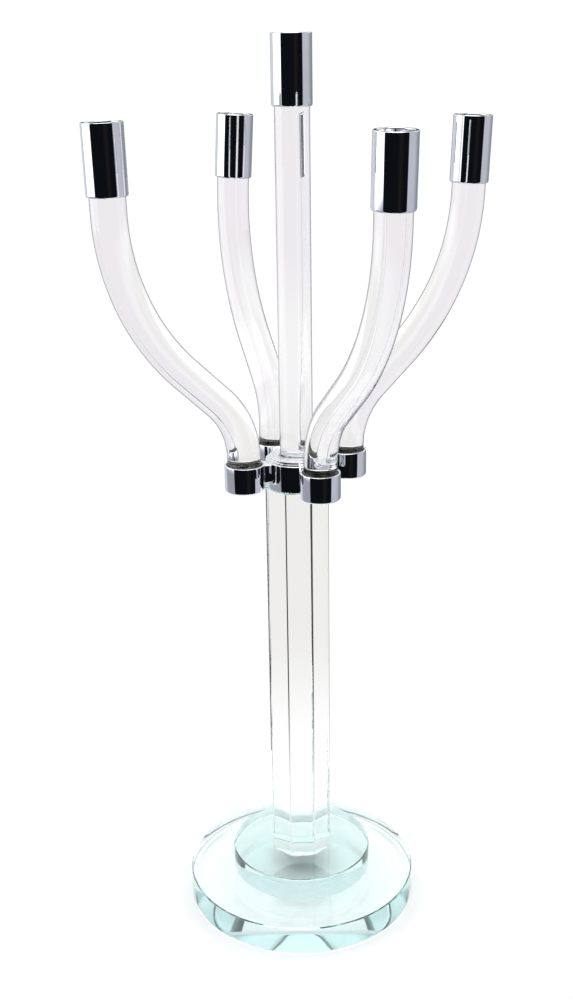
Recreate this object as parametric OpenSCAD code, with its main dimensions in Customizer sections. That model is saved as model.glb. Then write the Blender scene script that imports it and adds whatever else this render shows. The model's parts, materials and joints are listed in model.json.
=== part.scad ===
// Five-light crystal candelabra: a stepped glass base and an eight-sided glass column carry a
// chrome hub, from which four curved glass arms and one straight glass rod rise to candle cups.
// Origin: on the table, on the column's axis. +Z is up; the column's flats face X and Y.

/* [Base] */
// Diameter of the large bottom disc
base_d = 180; // [150:5:220]
// Thickness of the large bottom disc
base_h = 23; // [15:1:30]
// Diameter of the smaller disc on top of it
step_d = 110; // [80:5:130]
// Thickness of the smaller disc
step_h = 18.8; // [12:0.2:25]
// Width of the polished bevel on every disc edge
disc_bevel = 0.6; // [0.3:0.1:1.5]
// Thickness of the clear non-slip pad under it
pad_h = 1; // [0.5:0.5:3]

/* [Column] */
// Width of the column across its flats
column_w = 46; // [40:1:60]
// Length of the column
column_h = 308; // [200:2:400]

/* [Hub] */
// Diameter of the hub
hub_d = 46; // [44:1:60]
// Height of the hub, with its skirt
hub_h = 22.7; // [22:0.1:26]
// Turn of the head on the column, from the column's flats
head_turn = 21; // [-180:1:180]
// Distance of each arm socket's axis from the column's axis
socket_reach = 41.2; // [40:0.2:50]
// Outer diameter of an arm socket
socket_d = 29.2; // [28.6:0.2:31]
// Height of an arm socket
socket_h = 19.7; // [17:0.1:20.5]
// Height of the flat link between the hub and a socket
link_h = 13.4; // [10:0.2:14]
// Thickness of that link
link_w = 11; // [9:0.5:13]

/* [Arms] */
// Diameter of every glass rod
rod_d = 24.5; // [22:0.1:25]
// Straight stretch of an arm above its socket
arm_stub = 6; // [4:1:15]
// Radius of the lower bend, on the rod's axis
lower_bend_r = 60; // [40:1:70]
// Radius of the upper bend, on the rod's axis
upper_bend_r = 162; // [100:1:180]
// Slope of the middle stretch from the vertical
bend_angle = 45; // [30:1:50]
// How far an arm carries its light out from the socket's axis
arm_offset = 88.5; // [85:0.5:110]
// Small turn of each hand-set arm in its socket: right, back, left, front
arm_swing = [-2.3, 3, 2.9, 3.3]; // [-8:0.1:8]
// Lean of each arm away from the column
arm_lean_out = [1.9, -1.6, 0.7, 2.2]; // [-3:0.1:3]
// Lean of each arm to its own left, seen from the column
arm_lean_side = [-0.8, -2.8, -1.1, -0.2]; // [-3:0.1:3]
// Height of each arm's light above or below the common height, before the arm leans
arm_rise = [0, -6.5, 4, 4.5]; // [-8:0.5:8]

/* [Lights] */
// Height of the centre light's rim above the table
centre_top = 668; // [600:0.5:720]
// Common height of the arm lights' rims above the table
arm_top = 613.5; // [595:0.5:640]
// Outer diameter of a candle cup
cup_d = 28; // [27.8:0.1:32]
// Height of a candle cup
cup_h = 47; // [40:1:60]
// Diameter of the candle well, for 22 mm candles
well_d = 22.6; // [22.4:0.1:24]
// Depth of the candle well
well_depth = 26; // [20:1:30]

/* [Hidden] */
RIGHT = 0;
BACK = 1;
LEFT = 2;
FRONT = 3;

glass = [0.88, 0.95, 0.95, 0.45];
aqua_glass = [0.62, 0.86, 0.86, 0.55];
chrome = [0.75, 0.76, 0.80];
dark_rubber = [0.23, 0.25, 0.20];
adhesive = [0.78, 0.90, 0.80, 0.6];
steel = [0.55, 0.56, 0.58];

$fn = 96;
// Thickness of an adhesive film between two glass faces
bond_t = 0.2;
// Radial clearance of a turning fit
running_gap = 0.05;
// Gap between two metal faces that are screwed together
metal_gap = 0.05;
// How far a cutter runs past the face that it opens
cut = 1;

// Base and column levels
base_z = pad_h;
step_z = base_z + base_h + bond_t;
column_z = step_z + step_h + bond_t;
column_top = column_z + column_h;
pad_inset = 4;
bond_inset = 1;

// Cap plate, bonded to the column's top, with the spigot that the hub turns on
cap_bond_t = 0.3;
cap_z = column_top + cap_bond_t;
flange_d = 41;
flange_t = 2.5;
spigot_d = 16;
thread_d = 12;
washer_t = 0.8;
washer_slack = 0.4;
thrust_inset = 2;
spring_washer_d = 24;
web_z = cap_z + flange_t + washer_t;
web_t = 8;
web_top = web_z + web_t;
nut_z = web_top + washer_t;
nut_t = 6;
nut_w = 19;
thread_stand = 0.4;
thread_top = nut_z + nut_t + thread_stand;

// Hub: a skirt over the cap plate, a web that bears on it, a nut chamber and the rod's seat
skirt_gap = 0.6;
hub_z = column_top + skirt_gap;
hub_top = hub_z + hub_h;
skirt_d = 42;
chamber_d = 30;
seat_gap = 0.3;
seat_z = thread_top + seat_gap;
seat_d = 34;
seat_floor = 1;
land_drop = 1.4;
land_inset = 2.9;
shoulder_drop = 2.4;
shoulder_inset = 1.4;
shoulder_round = 0.8;
edge_round = 0.8;
collar_lip = 0.8;
collar_lip_t = 0.6;

// Arm sockets and the screws that hold them
socket_drop = 1.1;
socket_z = hub_top - socket_drop - socket_h;
socket_top = socket_z + socket_h;
socket_wall = 1.4;
socket_floor = 2;
socket_bore_d = socket_d - 2 * socket_wall;
link_drop = 8.6;
link_round = 0.6;
link_z = socket_top - link_drop;
link_root = 3;
screw_d = 4;
screw_head_d = 7.5;
screw_head_t = 2;
screw_sink = 0.15;
screw_head_x = socket_reach - socket_bore_d / 2 - screw_sink;
screw_tip_x = 17.5;
screw_tip_gap = 0.5;
hole_slack = 0.1;

// Rubber boot round each arm's foot, and the point about which the arm leans in it
boot_seat_gap = 0.05;
boot_side_gap = 0.1;
boot_floor = 1.55;
boot_below_rim = 1.2;
boot_z = socket_z + socket_floor + boot_seat_gap;
arm_foot_z = boot_z + boot_floor;
lean_z = (arm_foot_z + socket_top) / 2;

// Candle cups and the cement that holds them on the rods
recess_d = rod_d + 0.5;
cup_web = 3;
recess_depth = cup_h - well_depth - cup_web;
cement_gap = 2;
cement_h = recess_depth - cement_gap;
lip_round = 0.6;
cup_round = 1.4;

// Glass draws down a hair in a bend, and the straight stretches overlap the bends by this much
bend_thinning = 0.1;
bend_overlap = 1;

// Straight stretch between the two bends that brings the light out by arm_offset
bend_reach = (lower_bend_r + upper_bend_r) * (1 - cos(bend_angle));
slope_l = (arm_offset - bend_reach) / sin(bend_angle);
bend_start = socket_top + arm_stub;
bend_end = bend_start + (lower_bend_r + upper_bend_r) * sin(bend_angle) + slope_l * cos(bend_angle);

// ---------- shared shapes ----------

// Round bar about Z with a bevel on both edges
module bevelled_disc(d, h, bevel) {
    r = d / 2;
    rotate_extrude()
        polygon([[0, 0], [r - bevel, 0], [r, bevel], [r, h - bevel], [r - bevel, h], [0, h]]);
}

// Round bar about Z with a rounded bottom edge and a rounded top edge
module turned_bar(d, h, bottom_round, top_round) {
    r = d / 2;
    rotate_extrude() {
        translate([0, bottom_round]) square([r, h - bottom_round - top_round]);
        square([r - bottom_round, h]);
        translate([0, h / 2]) square([r - top_round, h / 2]);
        translate([r - bottom_round, bottom_round]) circle(bottom_round);
        translate([r - top_round, h - top_round]) circle(top_round);
    }
}

module ring(outer_d, inner_d, h) {
    difference() {
        cylinder(d = outer_d, h = h);
        translate([0, 0, -cut]) cylinder(d = inner_d, h = h + 2 * cut);
    }
}

// Eight-sided bar with flats facing X and Y
module octagon_bar(w, h) {
    rotate([0, 0, 22.5]) cylinder(r = w / 2 / cos(22.5), h = h, $fn = 8);
}

// ---------- base and column ----------

module base_pad() {
    color(glass) cylinder(d = base_d - 2 * pad_inset, h = pad_h);
}

module base_disc() {
    color(aqua_glass) translate([0, 0, base_z]) bevelled_disc(base_d, base_h, disc_bevel);
}

module base_bond() {
    color(adhesive) translate([0, 0, step_z - bond_t])
        cylinder(d = step_d - 2 * disc_bevel - bond_inset, h = bond_t);
}

module step_disc() {
    color(aqua_glass) translate([0, 0, step_z]) bevelled_disc(step_d, step_h, disc_bevel);
}

module step_bond() {
    color(adhesive) translate([0, 0, column_z - bond_t])
        octagon_bar(column_w - bond_inset, bond_t);
}

module column() {
    color(glass) translate([0, 0, column_z]) octagon_bar(column_w, column_h);
}

module cap_bond() {
    color(adhesive) translate([0, 0, column_top]) cylinder(d = flange_d, h = cap_bond_t);
}

module cap_plate() {
    color(chrome) translate([0, 0, cap_z]) {
        cylinder(d = flange_d, h = flange_t);
        cylinder(d = spigot_d, h = web_top - cap_z);
        cylinder(d = thread_d, h = thread_top - cap_z);
    }
}

// ---------- turning joint between column and head ----------

module thrust_washer() {
    color("white") translate([0, 0, cap_z + flange_t])
        ring(flange_d - 2 * thrust_inset, spigot_d + washer_slack, washer_t);
}

module spring_washer() {
    color(steel) translate([0, 0, web_top]) ring(spring_washer_d, thread_d + washer_slack, washer_t);
}

module hub_nut() {
    color(steel) translate([0, 0, nut_z]) difference() {
        cylinder(d = nut_w / cos(30), h = nut_t, $fn = 6);
        translate([0, 0, -cut]) cylinder(d = thread_d + hole_slack, h = nut_t + 2 * cut);
    }
}

// ---------- head ----------

// Turned outline of the hub: a raised top land, a step down to a ledge, then a rounded shoulder
module hub_outline() {
    r = hub_d / 2;
    rotate_extrude() {
        square([r - edge_round, hub_h - shoulder_drop - shoulder_round]);
        translate([0, edge_round])
            square([r, hub_h - edge_round - shoulder_drop - shoulder_round]);
        translate([r - edge_round, edge_round]) circle(edge_round);
        square([r - shoulder_round, hub_h - shoulder_drop]);
        translate([r - shoulder_round, hub_h - shoulder_drop - shoulder_round])
            circle(shoulder_round);
        square([r - shoulder_inset, hub_h - land_drop]);
        square([r - land_inset, hub_h]);
    }
}

// Everything along the X axis that a socket screw passes through
module screw_hole() {
    translate([screw_tip_x - screw_tip_gap, 0, link_z]) rotate([0, 90, 0])
        cylinder(d = screw_d + hole_slack, h = screw_head_x - screw_tip_x);
    translate([screw_head_x - screw_head_t, 0, link_z]) rotate([0, 90, 0])
        cylinder(d1 = screw_d + hole_slack, d2 = screw_head_d + hole_slack, h = screw_head_t);
    translate([screw_head_x, 0, link_z]) rotate([0, 90, 0])
        cylinder(d = screw_head_d + hole_slack, h = socket_wall);
}

module screw() {
    translate([screw_tip_x, 0, link_z]) rotate([0, 90, 0])
        cylinder(d = screw_d, h = screw_head_x - screw_tip_x);
    translate([screw_head_x - screw_head_t, 0, link_z]) rotate([0, 90, 0])
        cylinder(d1 = screw_d, d2 = screw_head_d, h = screw_head_t);
}

module hub() {
    color(chrome) difference() {
        translate([0, 0, hub_z]) hub_outline();
        translate([0, 0, hub_z - cut]) cylinder(d = skirt_d, h = web_z - hub_z + cut);
        translate([0, 0, web_z - cut])
            cylinder(d = spigot_d + 2 * running_gap, h = web_t + 2 * cut);
        translate([0, 0, web_top]) cylinder(d = chamber_d, h = seat_z - web_top + cut);
        translate([0, 0, seat_z]) cylinder(d = seat_d, h = hub_top - seat_z + cut);
        for (k = [RIGHT : FRONT]) rotate([0, 0, arm_azimuth(k)]) screw_hole();
    }
}

// Plug that closes the nut chamber and takes the centre rod's foot
module rod_seat() {
    color(chrome) translate([0, 0, seat_z]) difference() {
        cylinder(d = seat_d - 2 * metal_gap, h = hub_top - seat_z);
        translate([0, 0, seat_floor]) cylinder(d = recess_d, h = hub_top - seat_z);
    }
}

// Clear ring that centres the rod in its seat and shows as a small flange round its foot
module rod_collar() {
    color(glass) difference() {
        union() {
            translate([0, 0, seat_z + seat_floor])
                cylinder(d = recess_d, h = hub_top - seat_z - seat_floor);
            translate([0, 0, hub_top]) cylinder(d = recess_d + 2 * collar_lip, h = collar_lip_t);
        }
        translate([0, 0, seat_z]) cylinder(d = rod_d, h = hub_h);
    }
}

// Rectangle centred on the origin with rounded corners
module rounded_rectangle(w, h, r) {
    square([w - 2 * r, h], center = true);
    square([w, h - 2 * r], center = true);
    for (x = [-1, 1], y = [-1, 1])
        translate([x * (w / 2 - r), y * (h / 2 - r)]) circle(r);
}

module link(k) {
    near = hub_d / 2 - link_root;
    far = socket_reach - socket_d / 2 + link_root;
    color(chrome) rotate([0, 0, arm_azimuth(k)]) difference() {
        translate([near, 0, link_z]) rotate([90, 0, 90])
            linear_extrude(far - near) rounded_rectangle(link_w, link_h, link_round);
        translate([0, 0, hub_z]) cylinder(d = hub_d + 2 * metal_gap, h = hub_h);
        translate([socket_reach, 0, hub_z]) cylinder(d = socket_d + 2 * metal_gap, h = hub_h);
        screw_hole();
    }
}

module socket(k) {
    color(chrome) rotate([0, 0, arm_azimuth(k)]) difference() {
        translate([socket_reach, 0, socket_z])
            turned_bar(socket_d, socket_h, cup_round, lip_round);
        translate([socket_reach, 0, socket_z + socket_floor])
            cylinder(d = socket_bore_d, h = socket_h);
        screw_hole();
    }
}

module socket_screws() {
    color(steel) for (k = [RIGHT : FRONT]) rotate([0, 0, arm_azimuth(k)]) screw();
}

// ---------- centre light ----------

module centre_rod() {
    foot_z = seat_z + seat_floor;
    color(glass) translate([0, 0, foot_z])
        bevelled_disc(rod_d, centre_top - cup_h + cement_h - foot_z, disc_bevel);
}

module centre_cement() {
    color(adhesive) translate([0, 0, centre_top - cup_h]) cement();
}

module centre_cup() {
    color(chrome) translate([0, 0, centre_top - cup_h]) candle_cup();
}

// ---------- candle cup, with its foot at z = 0 ----------

module cement() {
    ring(recess_d, rod_d, cement_h);
}

module candle_cup() {
    difference() {
        turned_bar(cup_d, cup_h, cup_round, lip_round);
        translate([0, 0, -cut]) cylinder(d = recess_d, h = recess_depth + cut);
        translate([0, 0, cup_h - well_depth]) cylinder(d = well_d, h = well_depth + cut);
    }
}

// ---------- arms: k is one of RIGHT, BACK, LEFT, FRONT ----------

function arm_azimuth(k) = head_turn + 90 * k;

// Places children, drawn about Z with +X outwards, on an arm's socket
module at_socket(k) {
    rotate([0, 0, arm_azimuth(k)]) translate([socket_reach, 0, 0])
        rotate([0, 0, arm_swing[k]]) children();
}

// Leans children by the small angles at which the arm was set
module leaned(k) {
    translate([0, 0, lean_z]) rotate([-arm_lean_side[k], arm_lean_out[k], 0])
        translate([0, 0, -lean_z]) children();
}

function cup_foot_z(k) = arm_top + arm_rise[k] - cup_h;

module boot(k) {
    color(dark_rubber) at_socket(k) difference() {
        translate([0, 0, boot_z])
            cylinder(d = socket_bore_d - 2 * boot_side_gap, h = socket_top - boot_below_rim - boot_z);
        leaned(k) translate([0, 0, arm_foot_z]) cylinder(d = rod_d, h = socket_h + cut);
    }
}

// Bend of the rod: starts upright at the origin and turns towards +X
module rod_bend(r) {
    rotate([90, 0, 0]) translate([r, 0, 0]) rotate([0, 0, 180 - bend_angle])
        rotate_extrude(angle = bend_angle) translate([r, 0]) circle(d = rod_d - bend_thinning);
}

// The curved rod: upright foot, outward bend, slope, bend back, upright tip.
// The straight stretches reach a little way into the bends.
module curved_rod(k) {
    tip_z = cup_foot_z(k) + cement_h;
    lower_x = lower_bend_r * (1 - cos(bend_angle));
    lower_z = bend_start + lower_bend_r * sin(bend_angle);
    translate([0, 0, arm_foot_z])
        cylinder(d = rod_d, h = bend_start + bend_overlap - arm_foot_z);
    translate([0, 0, bend_start]) rod_bend(lower_bend_r);
    translate([lower_x, 0, lower_z]) rotate([0, bend_angle, 0])
        translate([0, 0, -bend_overlap]) cylinder(d = rod_d, h = slope_l + 2 * bend_overlap);
    translate([arm_offset, 0, bend_end]) mirror([1, 0, 0]) mirror([0, 0, 1])
        rod_bend(upper_bend_r);
    translate([arm_offset, 0, bend_end - bend_overlap])
        cylinder(d = rod_d, h = tip_z + bend_overlap - bend_end);
}

module arm(k) {
    color(glass) at_socket(k) leaned(k) curved_rod(k);
}

module arm_cement(k) {
    color(adhesive) at_socket(k) leaned(k) translate([arm_offset, 0, cup_foot_z(k)]) cement();
}

module arm_cup(k) {
    color(chrome) at_socket(k) leaned(k) translate([arm_offset, 0, cup_foot_z(k)])
        candle_cup();
}

// ---------- assembly ----------

base_pad();
base_disc();
base_bond();
step_disc();
step_bond();
column();
cap_bond();
cap_plate();
thrust_washer();
spring_washer();
hub_nut();
hub();
rod_seat();
rod_collar();
link(RIGHT);  // link_right
link(BACK);  // link_back
link(LEFT);  // link_left
link(FRONT);  // link_front
socket(RIGHT);  // socket_right
socket(BACK);  // socket_back
socket(LEFT);  // socket_left
socket(FRONT);  // socket_front
socket_screws();
centre_rod();
centre_cement();
centre_cup();
boot(RIGHT);  // boot_right
boot(BACK);  // boot_back
boot(LEFT);  // boot_left
boot(FRONT);  // boot_front
arm(RIGHT);  // arm_right
arm(BACK);  // arm_back
arm(LEFT);  // arm_left
arm(FRONT);  // arm_front
arm_cement(RIGHT);  // cement_right
arm_cement(BACK);  // cement_back
arm_cement(LEFT);  // cement_left
arm_cement(FRONT);  // cement_front
arm_cup(RIGHT);  // cup_right
arm_cup(BACK);  // cup_back
arm_cup(LEFT);  // cup_left
arm_cup(FRONT);  // cup_front
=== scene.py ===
"""Looks of a five-light crystal candelabra: glass discs, an eight-sided column, a chrome hub with four
arm sockets, bent glass rods and chrome candle cups. Lengths are in metres, +Z is up."""
import json
import math

import bpy
from mathutils import Matrix, Quaternion, Vector, noise


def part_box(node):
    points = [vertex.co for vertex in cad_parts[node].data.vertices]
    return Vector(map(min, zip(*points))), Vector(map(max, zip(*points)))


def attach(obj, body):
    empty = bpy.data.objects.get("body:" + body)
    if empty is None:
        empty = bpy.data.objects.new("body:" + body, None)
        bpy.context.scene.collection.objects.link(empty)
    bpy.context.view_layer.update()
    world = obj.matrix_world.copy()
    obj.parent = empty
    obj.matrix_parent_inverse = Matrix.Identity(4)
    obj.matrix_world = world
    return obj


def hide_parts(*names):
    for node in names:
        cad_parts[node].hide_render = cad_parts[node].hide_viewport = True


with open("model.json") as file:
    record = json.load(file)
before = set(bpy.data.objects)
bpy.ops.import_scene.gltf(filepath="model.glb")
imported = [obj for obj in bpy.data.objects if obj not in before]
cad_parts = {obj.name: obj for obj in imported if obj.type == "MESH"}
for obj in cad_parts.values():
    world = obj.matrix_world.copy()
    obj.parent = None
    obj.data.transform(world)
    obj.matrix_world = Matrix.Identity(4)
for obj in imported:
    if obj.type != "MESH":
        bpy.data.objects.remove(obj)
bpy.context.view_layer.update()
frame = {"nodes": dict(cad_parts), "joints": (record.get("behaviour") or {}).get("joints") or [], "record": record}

MM = 0.001
SIDES = ("right", "back", "left", "front")
BODY_OF = {node: body for body, nodes in frame["record"]["behaviour"]["bodies"].items() for node in nodes}
MOUNTS = {mount["name"]: mount for mount in frame["record"]["mounts"]}
SKIN = 0.05 * MM  # air left between a glass piece and its neighbours


# ---------- camera ----------

CAMERA_PLACE = (-0.0490, -0.9358, 0.6775)
CAMERA_HEADING = math.radians(87.48)
CAMERA_PITCH = math.radians(-19.86)
CAMERA_ROLL = math.radians(-0.9)
CAMERA_LENS = 48.15  # focal length in millimetres
CAMERA_SENSOR = 36  # width in millimetres
CAMERA_NEAREST = 10 * MM


def make_camera():
    data = bpy.data.cameras.new("camera")
    data.lens = CAMERA_LENS
    data.sensor_width = CAMERA_SENSOR
    data.clip_start = CAMERA_NEAREST
    camera = bpy.data.objects.new("camera", data)
    bpy.context.scene.collection.objects.link(camera)
    level = math.cos(CAMERA_PITCH)
    forward = Vector((math.cos(CAMERA_HEADING) * level, math.sin(CAMERA_HEADING) * level,
                      math.sin(CAMERA_PITCH)))
    camera.location = CAMERA_PLACE
    camera.rotation_mode = "QUATERNION"
    camera.rotation_quaternion = forward.to_track_quat("-Z", "Y") @ Quaternion((0, 0, 1), CAMERA_ROLL)
    bpy.context.scene.camera = camera


# ---------- node helpers ----------

def node_of(tree, kind, inputs=None, **settings):
    """A shader node with its settings made and its inputs filled: an input is a value or a socket."""
    made = tree.nodes.new(kind)
    for key, value in settings.items():
        setattr(made, key, value)
    for key, value in (inputs or {}).items():
        if isinstance(value, bpy.types.NodeSocket):
            tree.links.new(value, made.inputs[key])
        else:
            made.inputs[key].default_value = value
    return made


def math_of(tree, operation, a, b=0.0):
    return node_of(tree, "ShaderNodeMath", {0: a, 1: b}, operation=operation).outputs[0]


def ramp_of(tree, value, low, high, start=0.0, end=1.0):
    """Smooth step of value from start at low to end at high."""
    return node_of(tree, "ShaderNodeMapRange", {"Value": value, "From Min": low, "From Max": high,
                                                "To Min": start, "To Max": end},
                   interpolation_type="SMOOTHSTEP").outputs["Result"]


def between(tree, value, low, high, soft):
    """1 where value lies between low and high and 0 elsewhere, with edges that are soft to either side."""
    return math_of(tree, "MULTIPLY", ramp_of(tree, value, low - soft, low + soft),
                   ramp_of(tree, value, high - soft, high + soft, start=1.0, end=0.0))


def mix_of(tree, factor, a, b):
    """Colour a where factor is 0, and b where it is 1: each is a colour or a socket."""
    made = node_of(tree, "ShaderNodeMix", {"Factor": factor}, data_type="RGBA")
    colour_a, colour_b, mixed = made.inputs[6], made.inputs[7], made.outputs[2]
    for socket, value in ((colour_a, a), (colour_b, b)):
        if isinstance(value, bpy.types.NodeSocket):
            tree.links.new(value, socket)
        else:
            socket.default_value = (*value, 1)
    return mixed


def noise_of(tree, scale, detail, stretch):
    place = node_of(tree, "ShaderNodeTexCoord").outputs["Object"]
    place = node_of(tree, "ShaderNodeMapping", {"Vector": place, "Scale": stretch}).outputs["Vector"]
    return node_of(tree, "ShaderNodeTexNoise",
                   {"Vector": place, "Scale": scale, "Detail": detail}).outputs["Fac"]


# The middle of a noise's range, over which one tint or roughness turns into the other
TINT_MIDDLE = (0.35, 0.65)
ROUGH_MIDDLE = (0.3, 0.7)


def material_of(name, tints, tint_scale, rough, rough_scale, bump, bump_scale, stretch=(1, 1, 1), **plain):
    """A Principled material whose colour, roughness and bump each follow their own noise."""
    material = bpy.data.materials.new(name)
    material.use_nodes = True
    tree = material.node_tree
    shader = tree.nodes["Principled BSDF"]
    speckle = ramp_of(tree, noise_of(tree, tint_scale, detail=4, stretch=stretch), *TINT_MIDDLE)
    tree.links.new(mix_of(tree, speckle, *tints), shader.inputs["Base Color"])
    patches = noise_of(tree, rough_scale, detail=3, stretch=stretch)
    roughness = ramp_of(tree, patches, *ROUGH_MIDDLE, *rough)
    tree.links.new(roughness, shader.inputs["Roughness"])
    height = noise_of(tree, bump_scale, detail=3, stretch=stretch)
    relief = node_of(tree, "ShaderNodeBump", {"Height": height, "Strength": 1.0, "Distance": bump})
    tree.links.new(relief.outputs["Normal"], shader.inputs["Normal"])
    for key, value in plain.items():
        shader.inputs[key.replace("_", " ")].default_value = value
    return material


def add_depth_tint(material, colour, density):
    """Light takes the colour of the glass as it travels through it."""
    tree = material.node_tree
    output = tree.nodes["Material Output"]
    inside = node_of(tree, "ShaderNodeVolumeAbsorption", {"Color": (*colour, 1), "Density": density})
    tree.links.new(inside.outputs["Volume"], output.inputs["Volume"])


def paint_dark_rim(material, colour, start, end):
    """Painted shade: the base colour of a clear round rod is darkened where the surface turns away, so its outline
    goes dark.
    """
    tree = material.node_tree
    shader = tree.nodes["Principled BSDF"]
    tint = shader.inputs["Base Color"].links[0].from_socket
    facing = node_of(tree, "ShaderNodeLayerWeight", {"Blend": 0.5}).outputs["Facing"]
    rim = ramp_of(tree, facing, start, end)
    tree.links.new(mix_of(tree, rim, tint, colour), shader.inputs["Base Color"])


# ---------- materials ----------

GLASS_IOR = 1.52
SOFT_PLASTIC_IOR = 1.43
MATCHED_IOR = 1.001  # of adhesive against the glass it wets: light goes straight on


def see_through(name, ior, **finish):
    """Glass, adhesive or clear plastic."""
    return material_of(name, IOR=ior, Transmission_Weight=1.0, **finish)


def clear_glass():
    made = see_through("clear_glass", GLASS_IOR, tints=[(1.0, 1.0, 1.0), (0.985, 0.985, 0.99)],
                       tint_scale=9, rough=(0.0, 0.004), rough_scale=30, bump=0.015 * MM, bump_scale=35,
                       stretch=(1, 1, 0.3))
    add_depth_tint(made, colour=(0.86, 0.90, 0.89), density=0.6)
    # painted shade: a dark outline painted round the rods
    paint_dark_rim(made, colour=(0.14, 0.145, 0.155), start=0.60, end=0.78)
    return made


def column_glass():
    made = see_through("column_glass", GLASS_IOR, tints=[(1.0, 1.0, 1.0), (0.985, 0.99, 0.985)],
                       tint_scale=6, rough=(0.0, 0.003), rough_scale=20, bump=0.004 * MM, bump_scale=25)
    add_depth_tint(made, colour=(0.84, 0.90, 0.88), density=0.5)
    return made


def aqua_glass():
    made = see_through("aqua_glass", GLASS_IOR, tints=[(1.0, 1.0, 1.0), (0.985, 1.0, 0.995)],
                       tint_scale=12, rough=(0.0, 0.004), rough_scale=40, bump=0.006 * MM, bump_scale=30)
    add_depth_tint(made, colour=(0.28, 0.75, 0.75), density=2.6)
    return made


def ground_arris_painted_shade():
    """A fine-ground edge with painted shade and light: painted dark from outside, painted paler towards the foot
    where the base lights it, and clear from inside.
    """
    # The dark tints are painted shade: the dark lines that the column's edges show.
    made = material_of("ground_arris_painted_shade", tints=[(0.04, 0.045, 0.05), (0.10, 0.105, 0.11)], tint_scale=40,
                       rough=(0.25, 0.4), rough_scale=300, bump=0.02 * MM, bump_scale=900,
                       stretch=(1, 1, 0.1), IOR=GLASS_IOR)
    # Painted light: the edges are painted paler towards the foot, where light from the base reaches them, and dark
    # higher up.
    lit_below, dark_above = 80 * MM, 210 * MM
    lit_colour, clear = (0.70, 0.76, 0.75), (1.0, 1.0, 1.0)
    tree = made.node_tree
    shader = tree.nodes["Principled BSDF"]
    place = node_of(tree, "ShaderNodeTexCoord").outputs["Object"]
    height = node_of(tree, "ShaderNodeSeparateXYZ", {0: place}).outputs[2]
    inside = node_of(tree, "ShaderNodeNewGeometry").outputs["Backfacing"]
    dark = shader.inputs["Base Color"].links[0].from_socket
    outside = mix_of(tree, ramp_of(tree, height, lit_below, dark_above), lit_colour, dark)
    rough = shader.inputs["Roughness"].links[0].from_socket
    smooth_inside = math_of(tree, "MULTIPLY", rough, math_of(tree, "SUBTRACT", 1.0, inside))
    tree.links.new(mix_of(tree, inside, outside, clear), shader.inputs["Base Color"])
    tree.links.new(smooth_inside, shader.inputs["Roughness"])
    tree.links.new(inside, shader.inputs["Transmission Weight"])
    return made


def chrome():
    return material_of("chrome", tints=[(0.86, 0.87, 0.89), (0.91, 0.92, 0.94)], tint_scale=60,
                       rough=(0.015, 0.045), rough_scale=160, bump=0.002 * MM, bump_scale=220, Metallic=1.0)


def steel():
    return material_of("steel", tints=[(0.42, 0.42, 0.43), (0.55, 0.55, 0.56)], tint_scale=90,
                       rough=(0.18, 0.4), rough_scale=300, bump=0.02 * MM, bump_scale=500, Metallic=1.0)


def dark_rubber():
    return material_of("dark_rubber", tints=[(0.03, 0.035, 0.022), (0.20, 0.205, 0.16)], tint_scale=480,
                       rough=(0.35, 0.7), rough_scale=500, bump=0.25 * MM, bump_scale=450)


def nylon():
    return material_of("nylon", tints=[(0.80, 0.79, 0.75), (0.88, 0.87, 0.84)], tint_scale=80,
                       rough=(0.35, 0.5), rough_scale=200, bump=0.02 * MM, bump_scale=400)


def adhesive():
    return see_through("adhesive", MATCHED_IOR, tints=[(1.0, 1.0, 1.0), (0.985, 0.995, 0.99)],
                       tint_scale=120, rough=(0.0, 0.02), rough_scale=90, bump=0.01 * MM, bump_scale=120)


def bonded_face(name, tints):
    """A glass face wetted by clear adhesive."""
    return see_through(name, MATCHED_IOR, tints=tints, tint_scale=70, rough=(0.0, 0.01), rough_scale=90,
                       bump=0.002 * MM, bump_scale=120)


def clear_pad():
    return see_through("clear_pad", SOFT_PLASTIC_IOR, tints=[(0.97, 0.98, 0.98), (0.94, 0.96, 0.96)],
                       tint_scale=60, rough=(0.05, 0.15), rough_scale=150, bump=0.03 * MM, bump_scale=200)


def white_top():
    return material_of("white_top", tints=[(0.87, 0.87, 0.87), (0.88, 0.88, 0.88)], tint_scale=3,
                       rough=(0.8, 0.9), rough_scale=40, bump=0.02 * MM, bump_scale=200,
                       Specular_IOR_Level=0)


# ---------- mesh helpers ----------

LATHE_SEGMENTS = 160
DISC_SEGMENTS = 256
BAR_SEGMENTS = 96
ROUND_STEPS = 5


def object_of(name, points, faces, sharp_angle=35):
    """A mesh object, shaded smooth apart from edges sharper than an angle in degrees."""
    mesh = bpy.data.meshes.new(name)
    mesh.from_pydata(points, [], faces)
    mesh.validate()
    mesh.shade_smooth()
    mesh.set_sharp_from_angle(angle=math.radians(sharp_angle))
    made = bpy.data.objects.new(name, mesh)
    bpy.context.scene.collection.objects.link(made)
    return made


def pairwise_round(items):
    """Every item with the one that follows it, and the last with the first."""
    return zip(items, items[1:] + items[:1])


def tube_faces(levels, count):
    """Faces round a tube whose points run level by level, count to each."""
    faces = []
    for level in range(levels - 1):
        low, high = level * count, (level + 1) * count
        for i in range(count):
            j = (i + 1) % count
            faces.append([low + i, low + j, high + j, high + i])
    return faces


def rounded(outline):
    """Corners (r, z, round) of an outline, each rounded off by its third number where it has one."""
    points = []
    for i, corner in enumerate(outline):
        here = Vector(corner[:2])
        if len(corner) < 3:
            points.append(here)
            continue
        before = (Vector(outline[i - 1][:2]) - here).normalized() * corner[2]
        after = (Vector(outline[(i + 1) % len(outline)][:2]) - here).normalized() * corner[2]
        for step in range(ROUND_STEPS + 1):
            t = step / ROUND_STEPS
            points.append(here + before * (1 - t) ** 2 + after * t ** 2)
    return points


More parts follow.
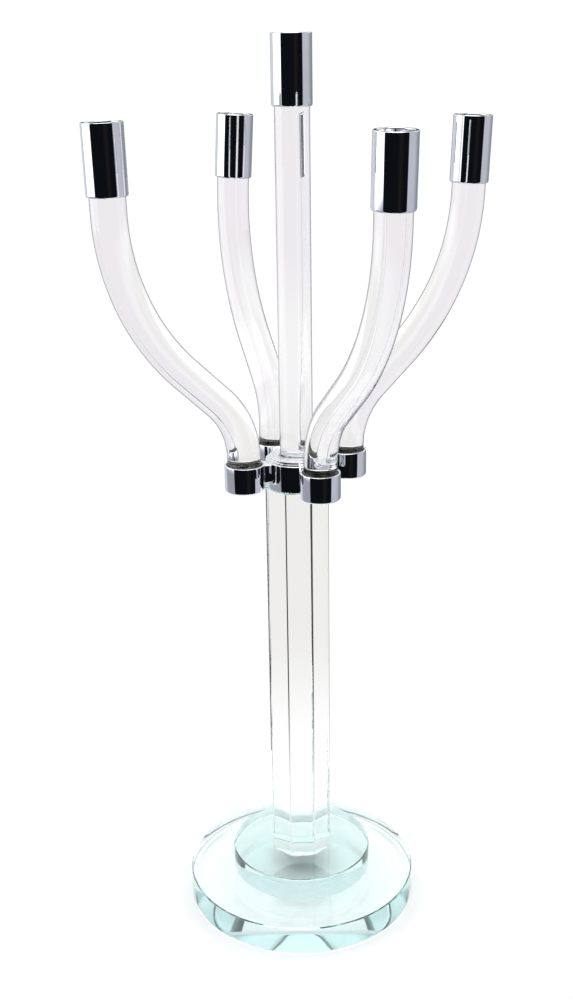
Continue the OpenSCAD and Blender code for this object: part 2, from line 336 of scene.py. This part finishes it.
def turned(name, outline, place=Matrix(), segments=LATHE_SEGMENTS):
    """A piece turned on a lathe: outline runs from the axis to the axis, or closes on itself."""
    rings = rounded(outline)
    points, faces, starts = [], [], []
    for ring in rings:
        starts.append(len(points))
        for i in range(segments if ring.x > 0 else 1):
            turn = math.tau * i / segments
            points.append(place @ Vector((ring.x * math.cos(turn), ring.x * math.sin(turn), ring.y)))

    def corner(a, i):
        """Number of point i of ring a: a ring on the axis has only one."""
        return starts[a] + (i % segments if rings[a].x > 0 else 0)

    closed = rings[0].x > 0
    for a in range(len(rings) if closed else len(rings) - 1):
        b = (a + 1) % len(rings)
        for i in range(segments):
            face = list(dict.fromkeys([corner(a, i), corner(a, i + 1), corner(b, i + 1), corner(b, i)]))
            if len(face) > 2:
                faces.append(face)
    return object_of(name, points, faces)


def swept(name, stations):
    """A bar through stations of (centre, across, over, radius), closed at both ends."""
    points = []
    for centre, across, over, radius in stations:
        for i in range(BAR_SEGMENTS):
            turn = math.tau * i / BAR_SEGMENTS
            points.append(centre + (across * math.cos(turn) + over * math.sin(turn)) * radius)
    faces = tube_faces(len(stations), BAR_SEGMENTS)
    last_ring = (len(stations) - 1) * BAR_SEGMENTS
    for end, ring in ((stations[0][0], 0), (stations[-1][0], last_ring)):
        points.append(end)
        for i in range(BAR_SEGMENTS):
            pair = [ring + i, ring + (i + 1) % BAR_SEGMENTS]
            faces.append([len(points) - 1, *(reversed(pair) if ring == 0 else pair)])
    return object_of(name, points, faces)


def place_piece(piece, node, material):
    piece.data.materials.append(material)
    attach(piece, BODY_OF[node])
    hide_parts(node)


def dress(node, material):
    """Gives a CAD node its finish."""
    made = frame["nodes"][node]
    made.data.materials.clear()
    made.data.materials.append(material)


def size_of(node):
    low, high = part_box(node)
    return high - low


# ---------- where the lights and arms are ----------

ROD_RADIUS = size_of("centre_rod").x / 2 - SKIN
GLASS_BEVEL = 0.7 * MM
LOWER_BEND = 60 * MM
UPPER_BEND = 162 * MM
BEND_ANGLE = math.radians(45)
STUB = 6 * MM  # straight stretch of an arm above its socket
BOOT_FLOOR = 1.55 * MM
CUP_HEIGHT = size_of("centre_cup").z
CUP_RADIUS = size_of("centre_cup").x / 2
WELL_DEPTH = MOUNTS["centre_candle_well"]["dims"]["length_mm"] * MM
WELL_RADIUS = MOUNTS["centre_candle_well"]["dims"]["r_mm"] * MM
CUP_WEB = 3 * MM  # metal between the candle well and the rod's recess
RECESS_RADIUS = 12.5 * MM
ROD_IN_CUP = 16 * MM
SOCKET_FLOOR = 2 * MM
SOCKET_WALL = 1.4 * MM
FOOT_ROUND = 1.6 * MM  # lower outer edge of a socket or cup
RIM_ROUND = 0.7 * MM  # upper outer edge of a socket or cup


def upright_frame(origin, up, towards):
    """Matrix whose Z is up and whose X points towards a direction as nearly as it can."""
    across = (towards - up * towards.dot(up)).normalized()
    side = up.cross(across)
    return Matrix.Translation(origin) @ Matrix((across, side, up)).transposed().to_4x4()


def cup_frame(side):
    """Foot of a candle cup, with Z along the cup."""
    mount = MOUNTS[side + "_candle_well"]
    up = Vector(mount["axis"]).normalized()
    foot = Vector(mount["pos_m"]) - up * (CUP_HEIGHT - WELL_DEPTH / 2)
    return upright_frame(foot, up, Vector((1, 0, 0)))


def socket_axis(side):
    """Point on the upright axis on which an arm turns."""
    joint = next(j for j in frame["joints"] if j["name"] == side + "_arm_swing")
    return Vector(joint["pos_m"])


def arm_foot_heights(side):
    """Height of an arm's foot, and of the socket's top round it."""
    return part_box("boot_" + side)[0].z + BOOT_FLOOR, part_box("socket_" + side)[1].z


def arm_frame(side):
    """Frame of an arm about its leaning point in the socket: Z along the arm's foot, X outwards."""
    axis = socket_axis(side)
    foot, top = arm_foot_heights(side)
    lean = Vector((axis.x, axis.y, (foot + top) / 2))
    cup = cup_frame(side)
    up = cup.to_3x3().col[2]
    return upright_frame(lean, up, cup.translation - lean)


# ---------- glass ----------

WAVE_DEPTH = 0.06 * MM
WAVES_PER_METRE = 22


def wavy(radius, key, along):
    """Hand-drawn glass keeps its thickness only to a few hundredths of a millimetre.
    Rods with the same key are uneven in the same way."""
    place = Vector((along * WAVES_PER_METRE, key, 0))
    return radius - WAVE_DEPTH * (0.5 + 0.5 * noise.noise(place))


def rod_ends(stations):
    """Adds a polished bevel at each end of a run of stations."""
    (first, ax, ov, r0), (last, bx, bo, r1) = stations[0], stations[-1]
    start = (stations[1][0] - first).normalized()
    end = (last - stations[-2][0]).normalized()
    return [(first, ax, ov, r0 - GLASS_BEVEL), (first + start * GLASS_BEVEL, ax, ov, r0), *stations[1:-1],
            (last - end * GLASS_BEVEL, bx, bo, r1), (last, bx, bo, r1 - GLASS_BEVEL)]


def arm_line(side):
    """Centre line of an arm, in its own frame, as (x, z, slope from upright)."""
    cup_foot = arm_frame(side).inverted() @ cup_frame(side).translation
    foot, socket_top = arm_foot_heights(side)
    half = (socket_top - foot) / 2
    reach = (LOWER_BEND + UPPER_BEND) * (1 - math.cos(BEND_ANGLE))
    slope = (cup_foot.x - reach) / math.sin(BEND_ANGLE)
    line = [(0, -half, 0)]

    def run(length, angle, steps):
        x, z, _ = line[-1]
        for i in range(1, steps + 1):
            line.append((x + math.sin(angle) * length * i / steps,
                         z + math.cos(angle) * length * i / steps, angle))

    def bend(radius, start, end, steps):
        x, z, _ = line[-1]
        sign = 1 if end > start else -1
        centre_x = x + sign * math.cos(start) * radius
        centre_z = z - sign * math.sin(start) * radius
        for i in range(1, steps + 1):
            angle = start + (end - start) * i / steps
            line.append((centre_x - sign * math.cos(angle) * radius,
                         centre_z + sign * math.sin(angle) * radius, angle))

    run(2 * half + STUB, 0, steps=8)
    bend(LOWER_BEND, 0, BEND_ANGLE, steps=24)
    run(slope, BEND_ANGLE, steps=6)
    bend(UPPER_BEND, BEND_ANGLE, 0, steps=48)
    run(cup_foot.z + ROD_IN_CUP - line[-1][1], 0, steps=12)
    return line


def make_arm(side, material):
    place = arm_frame(side)
    turn = place.to_3x3()
    over = turn @ Vector((0, 1, 0))
    stations = []
    for x, z, angle in arm_line(side):
        across = turn @ Vector((math.cos(angle), 0, -math.sin(angle)))
        stations.append((place @ Vector((x, 0, z)), across, over, wavy(ROD_RADIUS, len(side), x + z)))
    place_piece(swept("crystal_arm_" + side, rod_ends(stations)), "arm_" + side, material)


def make_centre_rod(material):
    low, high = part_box("centre_rod")
    steps = 40
    wave_key = 9
    length = high.z - low.z - 2 * SKIN
    stations = []
    for i in range(steps + 1):
        z = low.z + SKIN + length * i / steps
        radius = wavy(ROD_RADIUS, wave_key, z)
        stations.append((Vector((0, 0, z)), Vector((1, 0, 0)), Vector((0, 1, 0)), radius))
    place_piece(swept("crystal_centre_rod", rod_ends(stations)), "centre_rod", material)


def wet_faces(piece, material, upwards, radius):
    """Gives a bonded finish to the level faces within a radius that look up (1) or down (-1)."""
    level = 0.9
    reach = radius * 1.02  # takes in the corners that lie on the radius itself
    piece.data.materials.append(material)
    for face in piece.data.polygons:
        corners = [piece.data.vertices[i].co.xy.length for i in face.vertices]
        if face.normal.z * upwards > level and max(corners) < reach:
            face.material_index = len(piece.data.materials) - 1


def make_disc(name, node, material, bond_radius):
    """A round plate with polished bevels, whose top carries a bonded piece of a certain radius."""
    low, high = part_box(node)
    radius = high.x
    face_round, side_round = 0.15 * MM, 0.3 * MM
    bottom, top = low.z + SKIN, high.z - SKIN
    outline = [(0, bottom), (radius - GLASS_BEVEL, bottom, face_round),
               (radius, bottom + GLASS_BEVEL, side_round), (radius, top - GLASS_BEVEL, side_round),
               (radius - GLASS_BEVEL, top, face_round), (bond_radius, top), (0, top)]
    piece = turned(name, outline, segments=DISC_SEGMENTS)
    place_piece(piece, node, material)
    return piece


def make_column(glass, arris):
    """Eight flats with a narrow ground arris between each two, painted dark as shade, and a bevel at both ends."""
    low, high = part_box("column")
    sides = 8
    side_turn = 360 / sides
    flat = high.x
    arris_half = 0.55 * MM
    end_bevel = 0.12 * MM
    bottom, top = low.z + SKIN, high.z - SKIN
    half_side = flat * math.tan(math.pi / sides) - arris_half
    levels = ((bottom, end_bevel), (bottom + end_bevel, 0), (top - end_bevel, 0), (top, end_bevel))
    points = []
    for z, inset in levels:
        for k in range(sides):
            out = Matrix.Rotation(math.tau / sides * k, 3, "Z")
            for along in (-half_side, half_side):
                corner = Vector((flat - inset, along * (1 - inset / flat), 0))
                points.append(out @ corner + Vector((0, 0, z)))
    count = 2 * sides
    faces = tube_faces(len(levels), count)
    faces.append(list(reversed(range(count))))
    faces.append(list(range(len(points) - count, len(points))))
    piece = object_of("crystal_column", points, faces, sharp_angle=5)
    place_piece(piece, "column", glass)
    piece.data.materials.append(arris)
    for face in piece.data.polygons:
        upright = abs(face.normal.z) < 0.1
        from_flat = math.degrees(math.atan2(face.normal.y, face.normal.x)) % side_turn
        between_flats = abs(from_flat - side_turn / 2) < side_turn / 6
        if upright and between_flats:
            face.material_index = 1
    return piece


# ---------- chrome ----------

def make_cup(name, node, place, material):
    """Candle cup: a well above for the candle, and a recess below for the rod."""
    well_floor = CUP_HEIGHT - WELL_DEPTH
    recess_top = well_floor - CUP_WEB
    recess_round, well_round = 0.2 * MM, 0.8 * MM
    outline = [(0, recess_top), (RECESS_RADIUS, recess_top), (RECESS_RADIUS, 0, recess_round),
               (CUP_RADIUS, 0, FOOT_ROUND), (CUP_RADIUS, CUP_HEIGHT, RIM_ROUND),
               (WELL_RADIUS, CUP_HEIGHT, well_round), (WELL_RADIUS, well_floor, well_round),
               (0, well_floor)]
    place_piece(turned(name, outline, place), node, material)


def make_socket(side, material):
    node = "socket_" + side
    low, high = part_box(node)
    place = Matrix.Translation((*socket_axis(side).xy, low.z))
    radius, height = (high.x - low.x) / 2, high.z - low.z
    bore = radius - SOCKET_WALL
    bore_round = 0.5 * MM
    outline = [(0, 0), (radius, 0, FOOT_ROUND), (radius, height, RIM_ROUND), (bore, height, bore_round),
               (bore, SOCKET_FLOOR, bore_round), (0, SOCKET_FLOOR)]
    place_piece(turned("chrome_socket_" + side, outline, place), node, material)


def make_hub(material):
    """Hub with two steps round its top, a web that turns on the spigot, and a chamber for the nut."""
    low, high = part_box("hub")
    web_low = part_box("thrust_washer")[1].z
    web_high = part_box("spring_washer")[0].z
    seat_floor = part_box("rod_seat")[0].z
    radius = high.x
    skirt, spigot, chamber, seat = 21 * MM, 8.05 * MM, 15 * MM, 17 * MM
    land_inset, land_drop = 2.9 * MM, 1.4 * MM
    shoulder_inset, shoulder_drop = 1.4 * MM, 2.4 * MM
    mouth_round, crest_round, corner_round, edge_round = 0.2 * MM, 0.25 * MM, 0.1 * MM, 0.8 * MM
    land, ledge = radius - land_inset, radius - shoulder_inset
    ledge_z, shoulder_z = high.z - land_drop, high.z - shoulder_drop
    outline = [(seat, high.z, mouth_round), (land, high.z, crest_round), (land, ledge_z, mouth_round),
               (ledge, ledge_z, crest_round), (ledge, shoulder_z, corner_round),
               (radius, shoulder_z, edge_round), (radius, low.z, edge_round), (skirt, low.z, mouth_round),
               (skirt, web_low), (spigot, web_low), (spigot, web_high), (chamber, web_high),
               (chamber, seat_floor), (seat, seat_floor)]
    place_piece(turned("chrome_hub", outline), "hub", material)


def make_rod_seat(material):
    low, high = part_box("rod_seat")
    floor = 1 * MM
    outer_round, bore_round = 0.2 * MM, 0.3 * MM
    outline = [(0, low.z), (high.x, low.z), (high.x, high.z, outer_round),
               (RECESS_RADIUS, high.z, bore_round), (RECESS_RADIUS, low.z + floor), (0, low.z + floor)]
    place_piece(turned("chrome_rod_seat", outline), "rod_seat", material)


def link_section(width, height):
    """Outline across a link: a rectangle with rounded corners, in steps of about a millimetre."""
    edge_round = 0.8 * MM
    corners = [(x * width / 2, z * height / 2, edge_round) for x, z in ((1, 1), (-1, 1), (-1, -1), (1, -1))]
    section = []
    for a, b in pairwise_round(rounded(corners)):
        steps = max(1, round((b - a).length / MM))
        section += [a.lerp(b, i / steps) for i in range(steps)]
    return section


def make_link(side, material):
    """Flat bar between hub and socket, with softened edges and its ends scooped to fit both."""
    node = "link_" + side
    width = 11 * MM
    gap = 0.05 * MM
    axis = socket_axis(side)
    out = Vector((axis.x, axis.y, 0)).normalized()
    over = Vector((0, 0, 1)).cross(out)
    reach = axis.xy.length
    low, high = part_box(node)
    centre_z = (low.z + high.z) / 2
    hub_radius = size_of("hub").x / 2 + gap
    socket_radius = size_of("socket_" + side).x / 2 + gap
    section = link_section(width, high.z - low.z)
    points, faces = [], []
    for wide, rise in section:
        near = math.sqrt(hub_radius ** 2 - wide ** 2)
        far = reach - math.sqrt(socket_radius ** 2 - wide ** 2)
        for along in (near, far):
            points.append(out * along + over * wide + Vector((0, 0, centre_z + rise)))
    count = len(section)
    for i in range(count):
        j = (i + 1) % count
        faces.append([2 * i, 2 * i + 1, 2 * j + 1, 2 * j])
    for offset, along in ((0, hub_radius), (1, reach - socket_radius)):
        points.append(out * along + Vector((0, 0, centre_z)))
        for i in range(count):
            pair = [2 * i + offset, 2 * ((i + 1) % count) + offset]
            faces.append([len(points) - 1, *(pair if offset == 0 else reversed(pair))])
    place_piece(object_of("chrome_link_" + side, points, faces), node, material)


# ---------- rubber and plastics ----------

def boot_profile(outer, low, rim, lean, around, rough):
    """Points up the boot's wall, over its uneven rim and down its bore, at one turn round the axis."""
    chamfer_in, chamfer_down = 0.35 * MM, 0.5 * MM
    squeeze = 0.12 * MM  # the lip presses this far into the glass, and the bore below stands this far off
    grip = 2.6 * MM  # height of the lip
    lip_rise = 0.25 * MM
    wall = [(outer, low), (outer, rim - chamfer_down), (outer - chamfer_in, rim)]
    bore = [(-squeeze, rim + lip_rise * rough), (-squeeze, rim - grip * (1 + 0.5 * rough)),
            (squeeze, rim - grip * (1.2 + 0.5 * rough)), (squeeze, low + BOOT_FLOOR)]
    return wall, [lean @ (around * (ROD_RADIUS + gap) + Vector((0, 0, z - lean.translation.z)))
                  for gap, z in bore]


def make_boot(side, material):
    """Rubber boot: round outside to fit the socket, leaning inside with the glass, and uneven on top."""
    node = "boot_" + side
    low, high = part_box(node)
    lean = arm_frame(side)
    axis = socket_axis(side)
    outer = (high.x - low.x) / 2
    unevenness = 0.35 * MM
    grain = 2.5
    falloff, lacunarity, octaves = 1, 2, 4
    rings = []
    for i in range(BAR_SEGMENTS):
        turn = math.tau * i / BAR_SEGMENTS
        around = Vector((math.cos(turn), math.sin(turn), 0))
        place = Vector((math.cos(turn), math.sin(turn), len(side))) * grain
        rough = noise.fractal(place, falloff, lacunarity, octaves)
        wall, bore = boot_profile(outer, low.z, high.z + unevenness * rough, lean, around, rough)
        rings.append([Vector((axis.x, axis.y, z)) + around * r for r, z in wall] + bore)
    points = [p for ring in rings for p in ring]
    count = len(rings[0])
    faces = []
    for i in range(BAR_SEGMENTS):
        j = (i + 1) % BAR_SEGMENTS
        for a in range(count - 1):
            faces.append([i * count + a, j * count + a, j * count + a + 1, i * count + a + 1])
    points.append(Vector((axis.x, axis.y, low.z)))
    points.append(lean @ Vector((0, 0, low.z + BOOT_FLOOR - lean.translation.z)))
    for i in range(BAR_SEGMENTS):
        j = (i + 1) % BAR_SEGMENTS
        faces.append([len(points) - 2, j * count, i * count])
        faces.append([len(points) - 1, i * count + count - 1, j * count + count - 1])
    boot = object_of("rubber_boot_" + side, points, faces, sharp_angle=60)
    place_piece(boot, node, material)


def make_collar(material):
    """Clear collar round the centre rod's foot, with a thin flange that lies on the hub."""
    low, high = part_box("rod_collar")
    flange_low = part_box("hub")[1].z + SKIN
    inner = ROD_RADIUS + SKIN
    outer = RECESS_RADIUS - SKIN
    crisp_round, flange_round = 0.2 * MM, 0.4 * MM
    outline = [(inner, low.z), (outer, low.z), (outer, flange_low), (high.x, flange_low, crisp_round),
               (high.x, high.z, flange_round), (inner, high.z, crisp_round)]
    place_piece(turned("clear_rod_collar", outline), "rod_collar", material)


def make_pad(material):
    low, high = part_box("base_pad")
    lower_round, upper_round = 0.4 * MM, 0.3 * MM
    outline = [(0, low.z), (high.x, low.z, lower_round), (high.x, high.z - SKIN, upper_round),
               (0, high.z - SKIN)]
    place_piece(turned("clear_base_pad", outline, segments=DISC_SEGMENTS), "base_pad", material)


# ---------- studio ----------
# Directions in degrees: turn is 0 at the front and grows to the right, rise is 0 at the horizon.

def mirrored_room(tree, turn, rise, rearwards):
    """What chrome and the surfaces of glass mirror: a dark front, walls, a tall white panel on the left,
    a dark strip at the rear, the white sweep's upper part, and a ceiling with a lamp."""
    right_wall, right_corner = (0.52, 0.53, 0.59), (0.26, 0.29, 0.34)
    panel_surround, panel_white = (0.36, 0.36, 0.42), (1.7, 1.75, 1.8)
    left_corner, rear_dark = (0.66, 0.71, 0.77), (0.03, 0.032, 0.04)
    front_dark, front_glow = (0.004, 0.005, 0.007), (0.012, 0.011, 0.010)
    ceiling = (0.10, 0.10, 0.11)
    high_sweep, lamp = (0.95, 0.96, 0.98), (3.0, 3.0, 3.0)

    room = mix_of(tree, ramp_of(tree, turn, low=95, high=135), right_wall, right_corner)
    panel = mix_of(tree, between(tree, rise, low=-13, high=60, soft=3), panel_surround, panel_white)
    room = mix_of(tree, between(tree, turn, low=-122, high=-50, soft=6), room, panel)
    room = mix_of(tree, ramp_of(tree, turn, low=-140, high=-120, start=1.0, end=0.0), room, left_corner)
    room = mix_of(tree, between(tree, turn, low=-64, high=61, soft=2), room, front_dark)
    room = mix_of(tree, between(tree, turn, low=12, high=30, soft=9), room, front_glow)
    rear = ramp_of(tree, math_of(tree, "ABSOLUTE", turn), low=162, high=170)
    room = mix_of(tree, rear, room, rear_dark)
    room = mix_of(tree, ramp_of(tree, rise, low=40, high=55), room, ceiling)
    overhead = math_of(tree, "MULTIPLY", ramp_of(tree, rise, low=8, high=14),
                       ramp_of(tree, rearwards, low=0.2, high=0.45))
    room = mix_of(tree, overhead, room, high_sweep)
    return mix_of(tree, ramp_of(tree, rise, low=60, high=68), room, lamp)


def room_through_glass(tree, turn, rise):
    """What is seen through the glass: the sweep, the lamp above it, and a dark flag on either side."""
    low_sweep, middle_sweep = (0.895, 0.885, 0.872), (0.885, 0.862, 0.885)
    bright_band = (0.955, 0.945, 0.955)
    table, upper_sweep, lamp = (1.10, 1.10, 1.10), (1.15, 1.15, 1.15), (3.7, 3.7, 3.7)
    flag_dark = (0.02, 0.03, 0.035)

    room = mix_of(tree, ramp_of(tree, rise, low=-20, high=-10), low_sweep, middle_sweep)
    room = mix_of(tree, between(tree, rise, low=-16.5, high=-11, soft=2), room, bright_band)
    room = mix_of(tree, ramp_of(tree, rise, low=-31.5, high=-25), table, room)
    room = mix_of(tree, ramp_of(tree, rise, low=24, high=40), room, upper_sweep)
    room = mix_of(tree, ramp_of(tree, rise, low=50, high=75), room, lamp)
    aside = math_of(tree, "ABSOLUTE", turn)
    flag = math_of(tree, "MULTIPLY", between(tree, aside, low=92, high=136, soft=1),
                   between(tree, rise, low=24, high=48, soft=1))
    return mix_of(tree, flag, room, flag_dark)


def studio_world():
    """White sweep behind and soft light all round, with the room that glass and chrome show."""
    soft_light, sweep = (1.31, 1.275, 1.29), (1.02, 1.02, 1.02)
    world = bpy.data.worlds.new("studio")
    bpy.context.scene.world = world
    world.use_nodes = True
    world.cycles.sampling_method = "NONE"
    tree = world.node_tree
    direction = node_of(tree, "ShaderNodeTexCoord").outputs["Generated"]
    right, rearwards, up = node_of(tree, "ShaderNodeSeparateXYZ", {0: direction}).outputs
    forwards = math_of(tree, "MULTIPLY", rearwards, -1.0)
    turn = math_of(tree, "DEGREES", math_of(tree, "ARCTAN2", right, forwards))
    rise = math_of(tree, "DEGREES", math_of(tree, "ARCSINE", up))
    path = node_of(tree, "ShaderNodeLightPath").outputs
    seen = mix_of(tree, path["Is Glossy Ray"], soft_light, mirrored_room(tree, turn, rise, rearwards))
    seen = mix_of(tree, path["Is Transmission Ray"], seen, room_through_glass(tree, turn, rise))
    seen = mix_of(tree, path["Is Camera Ray"], seen, sweep)
    tree.links.new(seen, tree.nodes["Background"].inputs["Color"])


def studio_floor():
    """Round white table top."""
    radius = 220 * MM
    thickness = 12 * MM
    edge_round = 3 * MM
    top = -0.1 * MM
    outline = [(0, top), (radius, top, edge_round), (radius, top - thickness), (0, top - thickness)]
    floor = turned("floor", outline)
    floor.data.materials.append(white_top())


def set_render_paths():
    scene = bpy.context.scene
    scene.view_settings.view_transform = "Standard"
    scene.cycles.max_bounces = 32
    scene.cycles.transmission_bounces = 28
    scene.cycles.glossy_bounces = 16
    scene.cycles.use_denoising = True
    scene.cycles.blur_glossy = 0


# ---------- assembly ----------

def make_stand(pad):
    """Pad, two discs and column, with clear faces where adhesive joins them; those at the column's foot are tinted
    green as painted shade.
    """
    aqua = aqua_glass()
    disc_film = bonded_face("disc_film", [(0.985, 0.995, 0.99), (1.0, 1.0, 1.0)])
    # Painted shade: the bonded faces at the column's foot are tinted green for the shade under the foot.
    foot_film_painted_shade = bonded_face("foot_film_painted_shade", [(0.78, 0.92, 0.90), (0.85, 0.95, 0.93)])
    disc_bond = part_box("base_bond")[1].x
    foot_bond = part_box("step_bond")[1].x
    make_pad(pad)
    base = make_disc("crystal_base_disc", "base_disc", aqua, disc_bond)
    wet_faces(base, disc_film, 1, disc_bond)
    step = make_disc("crystal_step_disc", "step_disc", aqua, foot_bond)
    wet_faces(step, foot_film_painted_shade, 1, foot_bond)
    wet_faces(step, disc_film, -1, disc_bond)
    column = make_column(column_glass(), ground_arris_painted_shade())
    wet_faces(column, foot_film_painted_shade, -1, size_of("column").x)


def make_head(pad, metal, glass, rubber):
    """Hub, links and sockets, the centre light and the four arms with their lights."""
    make_hub(metal)
    make_rod_seat(metal)
    make_collar(pad)
    make_centre_rod(glass)
    make_cup("chrome_centre_cup", "centre_cup", cup_frame("centre"), metal)
    for side in SIDES:
        make_link(side, metal)
        make_socket(side, metal)
        make_boot(side, rubber)
        make_arm(side, glass)
        make_cup("chrome_cup_" + side, "cup_" + side, cup_frame(side), metal)


def dress_cad_nodes(metal):
    """Finishes of the pieces whose CAD shape stays as it is."""
    cement_rings = ["cement_" + side for side in SIDES]
    finishes = (
        (adhesive(), ["base_bond", "step_bond", "cap_bond", "centre_cement", *cement_rings]),
        (metal, ["cap_plate"]),
        (nylon(), ["thrust_washer"]),
        (steel(), ["spring_washer", "hub_nut", "socket_screws"]),
    )
    for material, nodes in finishes:
        for node in nodes:
            dress(node, material)


def main():
    make_camera()
    set_render_paths()
    studio_world()
    studio_floor()
    pad, metal = clear_pad(), chrome()
    make_stand(pad)
    make_head(pad, metal, clear_glass(), dark_rubber())
    dress_cad_nodes(metal)


main()
